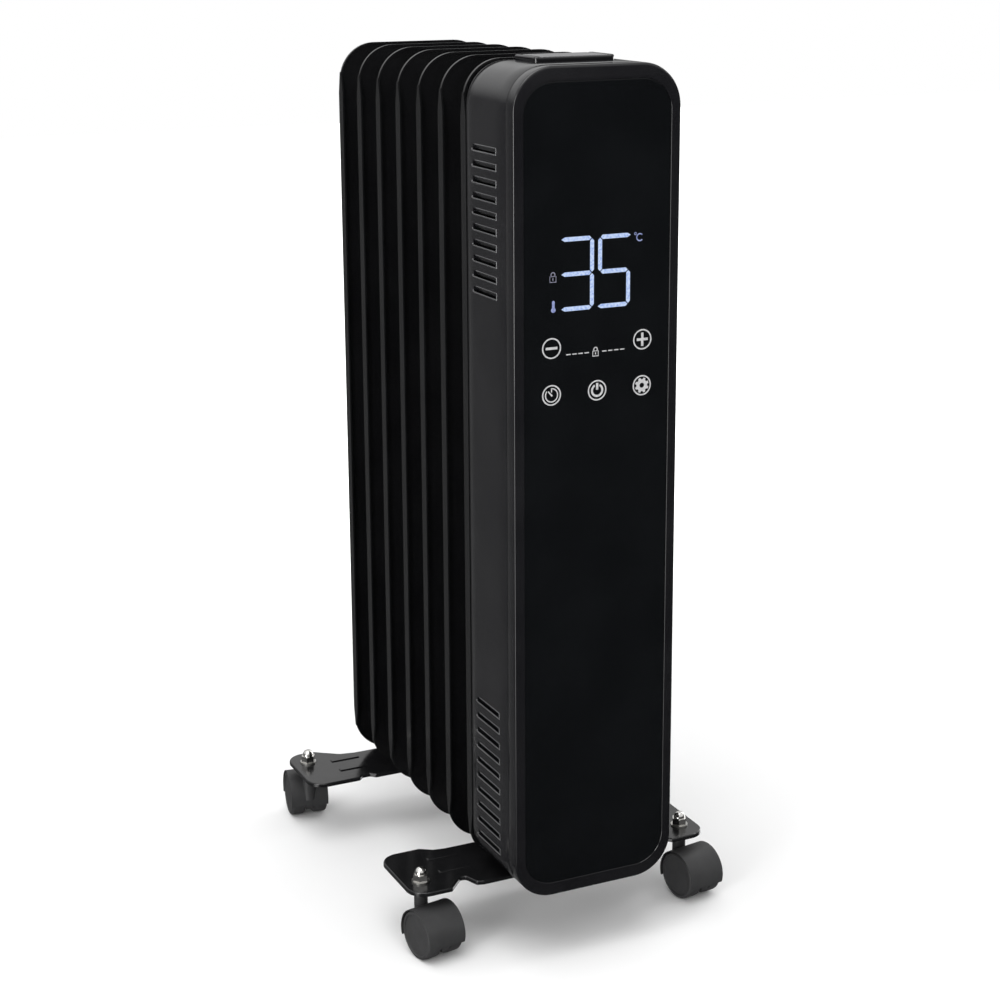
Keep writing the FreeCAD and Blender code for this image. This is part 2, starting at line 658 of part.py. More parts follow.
def dome_nuts():
    nuts = []
    for x, d in caster_places().values():
        z0 = PLATE_Z + 1.2
        hexagon = hex_prism(x, d, z0, 5.0, 10.0)
        bevel = Part.makeCone(7.0, 4.6, 5.6, V(x, y_of(d), z0 + 1.6))
        limit = rod_z(x, d, z0, z0 + 1.6, 8).fuse(bevel)
        dome = Part.makeSphere(4.3, V(x, y_of(d), z0 + 5.6))
        neck = rod_z(x, d, z0 + 4.0, z0 + 5.6, 4.3)
        body = fuse([hexagon.common(limit), neck, dome])
        nuts.append(body.cut(rod_z(x, d, z0 - 1, PLATE_Z + 8, THREAD_R)))
    return nuts


def caster_hood(x, d, yaw):
    da = d - TRAIL
    inner = WEB_X
    outer = WHEEL_X + WHEEL_W + 0.4
    drum = rod_x(x - outer, x + outer, da, WHEEL_R, HOOD_R)
    room = [rod_x(x + inner, x + outer + 1, da, WHEEL_R, WHEEL_R + 0.4),
            rod_x(x - outer - 1, x - inner, da, WHEEL_R, WHEEL_R + 0.4)]
    lower = box(x - 40, x + 40, da - 30, da + 30, -10, WHEEL_R - 6)
    core = rod_x(x - inner, x + inner, da, WHEEL_R, HOOD_R - 1)
    core = core.cut(box(x - 40, x + 40, da - 30, da + 30, -10, 8))
    drum = cut(drum, room + [lower])
    socket = rod_z(x, d, 18.0, SOCKET_TOP, SOCKET_R)
    socket = cut(socket, room)
    body = fuse([drum, core, socket])
    stem_hole = rod_z(x, d, 29.0, 60, STEM_R + STEM_GAP)
    axle_hole = rod_x(x - inner - 1, x + inner + 1, da, WHEEL_R, AXLE_R)
    body = cut(body, [stem_hole, axle_hole])
    return turned(body, x, d, yaw)


def caster_axle(x, d, yaw):
    half = WHEEL_X + WHEEL_W
    return turned(rod_x(x - half, x + half, d - TRAIL, WHEEL_R, AXLE_R), x, d, yaw)


def caster_wheel(x, d, side, yaw):
    da = d - TRAIL
    x0 = x + side * WHEEL_X
    x1 = x + side * (WHEEL_X + WHEEL_W)
    lo, hi = min(x0, x1), max(x0, x1)
    wheel = rod_x(lo, hi, da, WHEEL_R, WHEEL_R)
    wheel = wheel.makeFillet(2.0, [e for e in wheel.Edges if e.Closed])
    dish = rod_x(x1 - 1.0, x1 + 1.0, da, WHEEL_R, WHEEL_R - 3.0)
    bore = rod_x(lo - 1, hi + 1, da, WHEEL_R, AXLE_R + AXLE_GAP)
    return turned(cut(wheel, [dish, bore]), x, d, yaw)


# ---------------------------------------------------------------- write the parts
def save(name, shape):
    if isinstance(shape, list):
        shape = Part.makeCompound(shape)
    shape.exportStep("parts/" + name + ".step")


def build():
    os.makedirs("parts", exist_ok=True)
    save("front_bezel", front_bezel())
    save("glass_panel", glass_panel())
    save("display_board", display_board())
    save("board_screws", board_screws())
    save("display_module", display_module())
    save("display_segments", display_segments())
    save("touch_pads", touch_pads())
    save("rear_housing", rear_housing())
    save("rear_frame", rear_frame())
    save("housing_screws", housing_screws())
    save("heat_shield", heat_shield())
    save("shield_screw", shield_screw())
    save("top_handle", top_handle())
    save("handle_pad", handle_pad())
    save("grip_cup", grip_cup())
    save("power_board", power_board())
    save("board_standoffs", board_standoffs())
    save("relays", relays())
    save("transformer", transformer())
    save("tilt_switch", tilt_switch())
    save("thermal_cutout", thermal_cutout())
    save("temperature_probe", temperature_probe())
    save("terminal_block", terminal_block())
    save("cord_gland", cord_gland())
    save("heating_element", heating_element())
    save("element_gasket", element_gasket())
    save("terminal_insulators", terminal_insulators())
    save("wiring", wiring())
    for i in range(FIN_COUNT):
        save("fin_%d" % (i + 1), fin(i))
    save("oil_plug", oil_plug())
    save("front_bracket", foot_bracket(0))
    save("rear_bracket", foot_bracket(1))
    save("u_bolts", u_bolts())
    save("u_bolt_nuts", u_bolt_nuts())
    save("caster_stems", caster_stems())
    save("stem_washers", stem_washers())
    save("dome_nuts", dome_nuts())
    for key, (x, d) in caster_places().items():
        yaw = CASTER_YAW[key]
        save("caster_hood_" + key, caster_hood(x, d, yaw))
        save("caster_axle_" + key, caster_axle(x, d, yaw))
        save("wheel_%s_a" % key, caster_wheel(x, d, -1, yaw))
        save("wheel_%s_b" % key, caster_wheel(x, d, 1, yaw))


build()
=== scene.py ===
import json
import math

import bmesh
import bpy
from mathutils import Matrix, Vector

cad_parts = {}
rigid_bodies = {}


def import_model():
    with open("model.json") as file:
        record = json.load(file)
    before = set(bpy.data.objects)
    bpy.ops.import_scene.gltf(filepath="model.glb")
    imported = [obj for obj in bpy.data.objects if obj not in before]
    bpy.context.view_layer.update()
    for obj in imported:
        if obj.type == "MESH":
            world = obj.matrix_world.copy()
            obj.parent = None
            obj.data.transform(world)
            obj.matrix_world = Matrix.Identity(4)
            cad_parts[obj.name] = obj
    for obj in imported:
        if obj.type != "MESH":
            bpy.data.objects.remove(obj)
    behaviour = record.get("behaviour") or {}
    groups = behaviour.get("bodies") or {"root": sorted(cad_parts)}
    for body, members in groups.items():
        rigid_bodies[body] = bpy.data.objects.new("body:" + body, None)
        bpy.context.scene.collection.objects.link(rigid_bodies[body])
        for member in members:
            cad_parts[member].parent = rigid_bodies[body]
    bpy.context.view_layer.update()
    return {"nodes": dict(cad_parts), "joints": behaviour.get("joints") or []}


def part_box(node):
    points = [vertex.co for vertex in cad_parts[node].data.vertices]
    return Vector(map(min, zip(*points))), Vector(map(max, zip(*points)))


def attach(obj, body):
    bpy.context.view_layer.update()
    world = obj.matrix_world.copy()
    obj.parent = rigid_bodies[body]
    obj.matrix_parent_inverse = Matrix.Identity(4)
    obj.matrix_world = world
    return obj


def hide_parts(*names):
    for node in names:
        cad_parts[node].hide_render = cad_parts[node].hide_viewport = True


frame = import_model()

MM = 0.001
BODY = "heater"

# ---------------------------------------------------------------- places read from the frame, in mm


def box_mm(node):
    """A CAD node's lowest and highest corner, in mm."""
    lo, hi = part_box(node)
    return lo / MM, hi / MM


BEZEL_LO, BEZEL_HI = box_mm("front_bezel")
SHELL_HI = box_mm("rear_housing")[1]
GLASS_LO, GLASS_HI = box_mm("glass_panel")
HANDLE_LO, HANDLE_HI = box_mm("top_handle")
WHEEL_LO, WHEEL_HI = box_mm("wheel_fl_a")
AXLE_R = 2.5                            # caster axle radius
FRONT = BEZEL_LO.y                      # the front plane of the bezel
BODY_W = BEZEL_HI.x - BEZEL_LO.x
BODY_Z0 = BEZEL_LO.z
BODY_H = BEZEL_HI.z - BEZEL_LO.z
SHELL_D = SHELL_HI.y - FRONT            # the rear frame closes the shell behind this depth
BODY_R = 29.0                           # corner radius of the housing seen from the front
WALL = 2.5                              # housing wall
GLASS_R = 21.5
GLASS_W = GLASS_HI.x - GLASS_LO.x
GLASS_H = GLASS_HI.z - GLASS_LO.z
GLASS_D = GLASS_LO.y - FRONT            # the glass lies this far behind the bezel's rim
VENT_D = (27.0, 63.0)                   # the vent slots' two ends, from the front
VENT_H = 4.0
VENT_MIDDLES = ((28.0, 131.0), (428.0, 524.0))   # first and last slot of each group, above the case's foot
VENT_COUNT = 10
GRIP_X = 27.0                           # half width of the finger opening
GRIP_D = 45.0                           # its front edge; it is open to the rear

# ---------------------------------------------------------------- node materials


class Nodes:
    """Short calls for building one material's node tree."""

    def __init__(self, name):
        self.mat = bpy.data.materials.new(name)
        self.mat.use_nodes = True
        self.tree = self.mat.node_tree
        self.tree.nodes.clear()
        self.coord = self.add("ShaderNodeTexCoord").outputs["Object"]

    def add(self, kind, **values):
        node = self.tree.nodes.new(kind)
        for key, value in values.items():
            setattr(node, key, value)
        return node

    def link(self, a, b):
        self.tree.links.new(a, b)

    def noise(self, scale, detail=4.0, rough=0.55, stretch=None):
        source = self.coord
        if stretch:
            mapping = self.add("ShaderNodeMapping")
            mapping.inputs["Scale"].default_value = stretch
            self.link(source, mapping.inputs["Vector"])
            source = mapping.outputs["Vector"]
        node = self.add("ShaderNodeTexNoise")
        node.inputs["Scale"].default_value = scale
        node.inputs["Detail"].default_value = detail
        node.inputs["Roughness"].default_value = rough
        self.link(source, node.inputs["Vector"])
        return node.outputs["Fac"]

    def ramp(self, value, low, high, a=0.0, b=1.0):
        """The value, stretched from low..high to a..b and held there outside."""
        node = self.add("ShaderNodeMapRange", interpolation_type="SMOOTHSTEP")
        for key, v in (("From Min", low), ("From Max", high), ("To Min", a), ("To Max", b)):
            node.inputs[key].default_value = v
        self.link(value, node.inputs["Value"])
        return node.outputs["Result"]

    def mix(self, fac, a, b):
        node = self.add("ShaderNodeMix", data_type="RGBA")
        self.link(fac, node.inputs["Factor"])
        for socket, colour in ((node.inputs[6], a), (node.inputs[7], b)):
            if isinstance(colour, (tuple, list)):
                socket.default_value = (*colour, 1.0)
            else:
                self.link(colour, socket)
        return node.outputs[2]

    def math(self, op, a, b):
        node = self.add("ShaderNodeMath", operation=op)
        for socket, v in ((node.inputs[0], a), (node.inputs[1], b)):
            if isinstance(v, (int, float)):
                socket.default_value = v
            else:
                self.link(v, socket)
        return node.outputs[0]

    def bump(self, height, strength, distance, below=None):
        node = self.add("ShaderNodeBump")
        node.inputs["Strength"].default_value = strength
        node.inputs["Distance"].default_value = distance
        self.link(height, node.inputs["Height"])
        if below:
            self.link(below, node.inputs["Normal"])
        return node.outputs["Normal"]

    def shader(self, colour, rough, normal=None, **values):
        """The Principled shader; numbers in values go straight on its sockets."""
        node = self.add("ShaderNodeBsdfPrincipled")
        for socket, v in ((node.inputs["Base Color"], colour), (node.inputs["Roughness"], rough)):
            if isinstance(v, tuple):
                socket.default_value = (*v, 1.0)
            elif isinstance(v, float):
                socket.default_value = v
            else:
                self.link(v, socket)
        for key, v in values.items():
            node.inputs[key.replace("_", " ")].default_value = v
        if normal:
            self.link(normal, node.inputs["Normal"])
        out = self.add("ShaderNodeOutputMaterial")
        self.link(node.outputs["BSDF"], out.inputs["Surface"])
        return self.mat


def surface(name, dark, light, rough, spread, grain, height, patch=18.0, **values):
    """A material with soft colour patches, uneven gloss and a fine surface grain.

    grain is the size of the bump in mm, height its depth in mm."""
    n = Nodes(name)
    colour = n.mix(n.ramp(n.noise(patch, 5.0), 0.35, 0.68), dark, light)
    gloss = n.ramp(n.noise(patch * 2.3, 6.0, 0.65), 0.3, 0.72, rough - spread, rough + spread)
    normal = n.bump(n.noise(1.0 / (grain * MM), 2.0), 0.6, height * MM)
    return n.shader(colour, gloss, normal, **values)


def make_materials():
    m = {}
    m["black_gloss"] = surface("black_gloss", (0.006, 0.006, 0.007), (0.009, 0.009, 0.010), 0.15, 0.04, 7.0,
                               0.018, Specular_IOR_Level=0.55)
    m["bezel_gloss"] = surface("bezel_gloss", (0.005, 0.005, 0.006), (0.008, 0.008, 0.009), 0.09, 0.02, 9.0,
                               0.010, Specular_IOR_Level=0.55)
    # a paler copy of the black plastic for the vent beads and pips: painted highlight lines and dots along
    # the slot edges
    m["bead_painted_highlight"] = surface("bead_painted_highlight", (0.045, 0.045, 0.047), (0.070, 0.070, 0.072), 0.20, 0.05, 2.0,
                              0.008, Specular_IOR_Level=0.9)
    m["black_glass"] = surface("black_glass", (0.0022, 0.0026, 0.0031), (0.0032, 0.0037, 0.0043), 0.045,
                               0.02, 30.0, 0.004, Specular_IOR_Level=0.45, IOR=1.5)
    m["fin_black"] = surface("fin_black", (0.0045, 0.0046, 0.0050), (0.0062, 0.0063, 0.0068), 0.21, 0.03,
                             2.5, 0.012, Specular_IOR_Level=0.5)
    m["bracket_black"] = surface("bracket_black", (0.0060, 0.0061, 0.0066), (0.0085, 0.0086, 0.0092), 0.20,
                                 0.04, 1.4, 0.02, Specular_IOR_Level=0.5)
    m["caster_grey"] = surface("caster_grey", (0.034, 0.034, 0.035), (0.040, 0.040, 0.041), 0.55, 0.06, 0.7,
                               0.012, patch=60.0, Specular_IOR_Level=0.4)
    m["pad_grey"] = surface("pad_grey", (0.15, 0.15, 0.155), (0.18, 0.18, 0.185), 0.36, 0.05, 0.6, 0.015,
                            Specular_IOR_Level=0.5)
    m["chrome"] = surface("chrome", (0.62, 0.61, 0.59), (0.78, 0.77, 0.75), 0.16, 0.07, 0.8, 0.010,
                          patch=150.0, Metallic=1.0)
    m["zinc"] = surface("zinc", (0.42, 0.42, 0.41), (0.60, 0.59, 0.56), 0.36, 0.10, 0.6, 0.02, patch=120.0,
                        Metallic=1.0)
    m["screw_steel"] = surface("screw_steel", (0.30, 0.30, 0.30), (0.46, 0.46, 0.45), 0.34, 0.10, 0.5, 0.02,
                               patch=160.0, Metallic=1.0)
    m["shield_steel"] = surface("shield_steel", (0.34, 0.35, 0.36), (0.52, 0.53, 0.54), 0.42, 0.10, 1.2, 0.03,
                                patch=30.0, Metallic=1.0)
    m["element_steel"] = surface("element_steel", (0.30, 0.28, 0.26), (0.50, 0.47, 0.44), 0.38, 0.12, 0.8,
                                 0.03, patch=70.0, Metallic=1.0)
    m["board_green"] = surface("board_green", (0.010, 0.070, 0.030), (0.016, 0.110, 0.045), 0.34, 0.08, 1.0,
                               0.03, patch=90.0)
    m["display_white"] = surface("display_white", (0.60, 0.60, 0.58), (0.72, 0.72, 0.70), 0.42, 0.06, 0.8,
                                 0.02)
    m["segment_light"] = surface("segment_light", (0.50, 0.58, 0.80), (0.62, 0.70, 0.90), 0.40, 0.06, 0.8,
                                 0.02)
    m["foam"] = surface("foam", (0.020, 0.020, 0.020), (0.035, 0.035, 0.034), 0.92, 0.05, 0.7, 0.20)
    m["relay_blue"] = surface("relay_blue", (0.020, 0.060, 0.220), (0.030, 0.085, 0.300), 0.38, 0.06, 0.9,
                              0.02)
    m["core_grey"] = surface("core_grey", (0.10, 0.10, 0.10), (0.18, 0.18, 0.17), 0.48, 0.10, 0.5, 0.06,
                             Metallic=0.6)
    m["nylon_white"] = surface("nylon_white", (0.52, 0.51, 0.47), (0.64, 0.63, 0.58), 0.46, 0.06, 0.7, 0.03)
    m["bakelite"] = surface("bakelite", (0.030, 0.012, 0.007), (0.050, 0.020, 0.011), 0.36, 0.08, 0.9, 0.03)
    m["gasket"] = surface("gasket", (0.20, 0.03, 0.015), (0.30, 0.05, 0.022), 0.62, 0.08, 0.6, 0.05)
    m["ceramic"] = surface("ceramic", (0.66, 0.64, 0.58), (0.78, 0.76, 0.70), 0.32, 0.08, 0.9, 0.03)
    m["lead_cover"] = surface("lead_cover", (0.40, 0.02, 0.015), (0.55, 0.04, 0.025), 0.45, 0.07, 0.6, 0.03)
    m["print_grey"] = surface("print_grey", (0.36, 0.36, 0.37), (0.46, 0.46, 0.46), 0.42, 0.05, 0.5, 0.004,
                              patch=500.0)
    m["print_dim"] = surface("print_dim", (0.12, 0.12, 0.17), (0.20, 0.20, 0.26), 0.42, 0.05, 0.5, 0.004,
                             patch=500.0)
    m["lit_digit"] = lit_material("lit_digit", (0.22, 0.36, 0.78), (0.60, 0.72, 0.95), 0.95)
    m["lit_icon"] = lit_material("lit_icon", (0.12, 0.16, 0.42), (0.36, 0.42, 0.70), 0.85)
    return m


def lit_material(name, edge, middle, strength):
    """A backlit segment: cloudy pale blue light through a diffuser."""
    n = Nodes(name)
    cloud = n.ramp(n.noise(620.0, 4.0, 0.6), 0.30, 0.60)
    glow = n.mix(cloud, edge, middle)
    normal = n.bump(n.noise(900.0, 2.0), 0.4, 0.01 * MM)
    mat = n.shader((0.02, 0.02, 0.03), 0.3, normal)
    shader = next(x for x in n.tree.nodes if x.type == "BSDF_PRINCIPLED")
    n.link(glow, shader.inputs["Emission Color"])
    shader.inputs["Emission Strength"].default_value = strength
    return mat


MAT = make_materials()

# ---------------------------------------------------------------- mesh helpers, all in mm


def piece(name, verts, faces, mat, body=BODY, sharp=34.0):
    """A mesh piece that rides on a body, its normals outward, smooth except at edges over sharp degrees."""
    me = bpy.data.meshes.new(name)
    me.from_pydata([Vector(v) * MM for v in verts], [], faces)
    bm = bmesh.new()
    bm.from_mesh(me)
    bmesh.ops.remove_doubles(bm, verts=bm.verts, dist=1e-7)
    bmesh.ops.recalc_face_normals(bm, faces=bm.faces)
    bm.to_mesh(me)
    bm.free()
    me.shade_smooth()
    me.set_sharp_from_angle(angle=math.radians(sharp))
    me.materials.append(MAT[mat])
    ob = bpy.data.objects.new(name, me)
    bpy.context.scene.collection.objects.link(ob)
    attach(ob, body)
    return ob


def spine(w, h, r, xs=(), zs=(), n=12):
    """Centres and outward directions round a rounded rectangle: a point is centre + direction * (r - inset).

    xs and zs are extra places on the level sides, and up the upright sides and round their corners."""
    a, b = w / 2 - r, h / 2 - r
    side_z = sorted({-b, b, *(z for z in zs if abs(z) < b)})
    side_x = sorted({-a, a, *xs})
    rises = [math.degrees(math.asin((abs(z) - b) / r)) for z in zs if abs(z) > b and z < 0]

    def arc(cx, cz, start):
        steps = {90 * k / n for k in range(1, n)}
        if cz < 0:
            steps |= {90 - t if cx > 0 else t for t in rises}
        angles = [math.radians(start + t) for t in sorted(steps)]
        return [(cx, cz, math.cos(t), math.sin(t)) for t in angles]

    out = [(a, z, 1, 0) for z in side_z] + arc(a, b, 0)
    out += [(x, b, 0, 1) for x in reversed(side_x)] + arc(-a, b, 90)
    out += [(-a, z, -1, 0) for z in reversed(side_z)] + arc(-a, -b, 180)
    return out + [(x, -b, 0, -1) for x in side_x] + arc(a, -b, 270)


def rings(line, r, rows, place):
    """Points of each row (level, inset) along the spine."""
    return [place(cx + nx * (r - o), cz + nz * (r - o), d) for d, o in rows for cx, cz, nx, nz in line]


def bands(n, m, wrap=False, start=0):
    """Quads between m rows of n points each."""
    out = []
    for j in range(m if wrap else m - 1):
        for i in range(n):
            k = (i + 1) % n
            a, b = start + j * n, start + (j + 1) % m * n
            out.append((a + i, a + k, b + k, b + i))
    return out


def facing(z0):
    """Places (across, up, depth) with depth measured back from the front plane."""
    return lambda x, z, d: (x, FRONT + d, z0 + z)


def slab(line, r, rows, place):
    """Verts and faces of a solid whose outline follows the spine, capped at both ends."""
    verts = rings(line, r, rows, place)
    n, m = len(line), len(rows)
    faces = bands(n, m) + [tuple(range(n)), tuple(range((m - 1) * n, m * n))]
    return verts, faces


class Soup:
    """Several solids gathered into one mesh."""

    def __init__(self):
        self.verts, self.faces = [], []

    def add(self, verts, faces):
        k = len(self.verts)
        self.verts += verts
        self.faces += [tuple(i + k for i in f) for f in faces]

    def prism(self, points, place, low, high):
        """A flat outline with thickness."""
        n = len(points)
        verts = [place(x, z, low) for x, z in points] + [place(x, z, high) for x, z in points]
        self.add(verts, bands(n, 2) + [tuple(range(n)), tuple(range(n, 2 * n))])

    def ribbon(self, points, width, place, low, high, closed=False):
        """A stroke of even width along points, with thickness."""
        n = len(points)
        left, right = [], []
        for i, (x, z) in enumerate(points):
            before = points[(i - 1) % n] if closed or i else points[i]
            after = points[(i + 1) % n] if closed or i < n - 1 else points[i]
            tx, tz = after[0] - before[0], after[1] - before[1]
            size = math.hypot(tx, tz)
            ox, oz = -tz / size * width / 2, tx / size * width / 2
            left.append((x + ox, z + oz))
            right.append((x - ox, z - oz))
        corners = ((left, low), (left, high), (right, high), (right, low))
        rows = [place(x, z, d) for line, d in corners for x, z in line]
        faces = []
        for j in range(4):
            a, b = j * n, (j + 1) % 4 * n
            for i in range(n if closed else n - 1):
                k = (i + 1) % n
                faces.append((a + i, a + k, b + k, b + i))
        if not closed:
            faces += [(0, n, 2 * n, 3 * n), (n - 1, 2 * n - 1, 3 * n - 1, 4 * n - 1)]
        self.add(rows, faces)


def circle(cx, cz, r, start=0.0, sweep=360.0, n=40):
    """Points on an arc; a whole circle leaves out the repeated end."""
    last = n if sweep < 360 else n - 1
    angles = [math.radians(start + sweep * k / n) for k in range(last + 1)]
    return [(cx + r * math.cos(t), cz + r * math.sin(t)) for t in angles]


# ---------------------------------------------------------------- bezel, glass and marks


def make_bezel():
    """The front frame: its outer edge follows the case, its inner lip follows the glass."""
    case = spine(BODY_W, BODY_H, BODY_R, n=20)
    glass = spine(GLASS_W, GLASS_H, GLASS_R, n=20)
    outside = [(11.85, 0.5), (11.6, 0.12), (11.2, 0.0), (6.0, 0.0), (2.3, 0.0), (1.7, 0.06), (1.15, 0.28),
               (0.8, 0.62), (0.6, 1.1), (0.52, 1.7), (0.47, 2.3)]
    lip = [(0.06, -1.9), (0.0, -1.2), (0.0, -0.6), (0.1, -0.25), (0.3, -0.1), (1.0, -0.08), (4.6, -0.08)]
    inside = [(5.2, WALL), (11.85, WALL)]
    place = facing(BODY_Z0 + BODY_H / 2)
    verts = rings(case, BODY_R, outside, place)
    verts += rings(glass, GLASS_R, lip, place)
    verts += rings(case, BODY_R, inside, place)
    faces = bands(len(case), len(outside + lip + inside), wrap=True)
    ob = piece("bezel_frame", verts, faces, "bezel_gloss")
    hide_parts("front_bezel")


def make_glass():
    line = spine(GLASS_W, GLASS_H, GLASS_R, n=20)
    d = GLASS_D
    rows = [(d + 4.0, 0.4), (d + 3.7, 0.0), (d + 0.3, 0.0), (d + 0.16, 0.04), (d + 0.04, 0.16), (d, 0.3),
            (d, 2.0)]
    verts, faces = slab(line, GLASS_R, rows, facing(GLASS_LO.z + GLASS_H / 2))
    ob = piece("front_glass", verts, faces, "black_glass")
    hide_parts("glass_panel")


PRINT = (GLASS_D - 0.03, GLASS_D + 0.02)   # the marks' front and back, from the front plane
ICON_R = 7.05
ICON_W = 0.95
DIGIT_Z = (409.3, 458.6)                   # the digits' feet and heads above the glass's lower edge
DIGIT_X = ((-26.9, -2.9), (0.2, 24.4))     # left and right edge of each digit
LIT = ("abcdg", "acdfg")                   # the bars that are on in a 3 and in a 5
SEG = 2.9


def segment(soup, start, end, tapers):
    """A bar from one point to another; tapers are the lengths of its two pointed ends."""
    (x0, z0), (x1, z1) = start, end
    length = math.hypot(x1 - x0, z1 - z0)
    ux, uz = (x1 - x0) / length, (z1 - z0) / length
    h = SEG / 2
    a, b = tapers
    shape = [(0.0, 0.0), (a, h), (length - b, h), (length, 0.0), (length - b, -h), (a, -h)]
    points = [(x0 + s * ux - t * uz, z0 + s * uz + t * ux) for s, t in shape]
    soup.prism(points, facing(GLASS_LO.z), *PRINT)


def make_digits():
    """A lit 3 and 5 in seven-segment bars that meet in mitres."""
    soup = Soup()
    h, gap = SEG / 2, 0.45
    foot, top = DIGIT_Z[0] + h, DIGIT_Z[1] - h
    mid = (foot + top) / 2
    for (x0, x1), on in zip(DIGIT_X, LIT):
        left, right = x0 + h, x1 - h
        for key, z in (("a", top), ("g", mid), ("d", foot)):
            if key in on:
                joined = ("f" in on and key in "ag", key != "a" or "b" in on)
                ends = [left + gap if joined[0] else x0 - 0.2, right - gap if joined[1] else x1 + 0.2]
                tapers = [h if j else 2.4 for j in joined]
                segment(soup, (ends[0], z), (ends[1], z), tapers)
        for key, x, z0, z1 in (("b", right, mid, top), ("c", right, foot, mid), ("f", left, mid, top)):
            if key in on:
                segment(soup, (x, z0 + gap), (x, z1 - gap), (h, h))
    ob = piece("lit_digits", soup.verts, soup.faces, "lit_digit")
    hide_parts("display_segments")


def padlock(soup, x, z, w, h, stroke):
    """An outlined padlock standing on z."""
    place = facing(GLASS_LO.z)
    body = h * 0.58
    half = w / 2 - stroke / 2
    frame_line = [(x - half, z), (x + half, z), (x + half, z + body), (x - half, z + body)]
    soup.ribbon(frame_line, stroke, place, *PRINT, closed=True)
    r = w * 0.27
    arch = [(x + r, z + body)] + circle(x, z + h - r, r, 0, 180, 12) + [(x - r, z + body)]
    soup.ribbon(arch, stroke, place, *PRINT)
    soup.ribbon([(x, z + body * 0.28), (x, z + body * 0.7)], stroke, place, *PRINT)


def thermometer(soup, x, z):
    place = facing(GLASS_LO.z)
    bulb = circle(x, z + 1.7, 1.7, 122, 296, 24)
    stem = circle(x, z + 6.9, 1.05, 0, 180, 12)
    soup.prism(bulb + stem, place, *PRINT)


def icon_ring(soup, x, z):
    soup.ribbon(circle(x, z, ICON_R - ICON_W / 2, n=64), ICON_W, facing(GLASS_LO.z), *PRINT, closed=True)


def make_marks():
    """The touch keys' printed signs and the small lit signs."""
    place = facing(GLASS_LO.z)
    soup = Soup()
    top, low, side = 385.3, 353.5, 34.3
    for x, z in ((-side, top), (side, top), (-side, low), (0.0, low), (side, low)):
        icon_ring(soup, x, z)
    soup.ribbon([(-side - 4.3, top), (-side + 4.3, top)], 1.7, place, *PRINT)
    soup.ribbon([(side - 4.2, top), (side + 4.2, top)], 1.8, place, *PRINT)
    for z0, z1 in ((0.9, 4.6), (-4.6, -0.9)):
        soup.ribbon([(side, top + z0), (side, top + z1)], 1.8, place, *PRINT)
    # timer: an open dial with a tick and a hand
    soup.ribbon(circle(-side, low, 4.5, 90, -310, 40), 0.85, place, *PRINT)
    soup.ribbon([(-side, low + 5.0), (-side, low + 1.9)], 0.8, place, *PRINT)
    hand = [(-side - 2.9, low + 2.6), (-side - 2.3, low + 3.1),
            (-side + 1.0, low - 0.2), (-side + 0.1, low - 1.1)]
    soup.prism(hand, place, *PRINT)
    # power: an open ring with a bar
    soup.ribbon(circle(0.0, low, 3.9, 118, 304, 40), 1.5, place, *PRINT)
    soup.ribbon([(0.0, low + 5.0), (0.0, low + 0.4)], 1.7, place, *PRINT)
    gear(soup, side, low)
    for k in range(4):
        for sign in (-1, 1):
            x = -1.4 + sign * (5.0 + k * 4.55)
            soup.ribbon([(x, 380.0), (x + sign * 3.3, 380.0)], 0.75, place, *PRINT)
    padlock(soup, -1.4, 377.2, 4.8, 5.9, 0.7)
    piece("touch_key_prints", soup.verts, soup.faces, "print_grey")

    dim = Soup()
    padlock(dim, -33.3, 429.6, 5.2, 6.4, 0.7)
    piece("lock_sign", dim.verts, dim.faces, "print_dim")

    lit = Soup()
    thermometer(lit, -33.0, 409.2)
    piece("thermometer_sign", lit.verts, lit.faces, "lit_icon")

    degree = Soup()
    degree.ribbon(circle(28.2, 457.6, 0.75, n=16), 0.45, place, *PRINT, closed=True)
    degree.ribbon(circle(31.6, 455.0, 2.35, 42, 276, 28), 0.8, place, *PRINT)
    piece("degree_sign", degree.verts, degree.faces, "lit_icon")


def gear(soup, x, z):
    """A cog with eight teeth and a round hole."""
    teeth = 8
    outer = []
    for k in range(teeth):
        for turn, r in ((-14, 4.15), (-9, 5.35), (9, 5.35), (14, 4.15)):
            t = math.radians(k * 360 / teeth + turn + 22.5)
            outer.append((x + r * math.cos(t), z + r * math.sin(t)))
    hole = []
    for px, pz in outer:
        t = math.atan2(pz - z, px - x)
        hole.append((x + 1.75 * math.cos(t), z + 1.75 * math.sin(t)))
    place = facing(GLASS_LO.z)
    n = len(outer)
    low, high = PRINT
    rows = [place(px, pz, d) for line, d in ((outer, low), (outer, high), (hole, high), (hole, low))
            for px, pz in line]
    soup.add(rows, bands(n, 4, wrap=True))


# ---------------------------------------------------------------- rear shell, vents and handle


def vent_levels():
    """Lower edges of the vent slots, in mm above the floor."""
    levels = []
    for first, last in VENT_MIDDLES:
        step = (last - first) / (VENT_COUNT - 1)
        levels += [BODY_Z0 + first + step * k - VENT_H / 2 for k in range(VENT_COUNT)]
    return levels


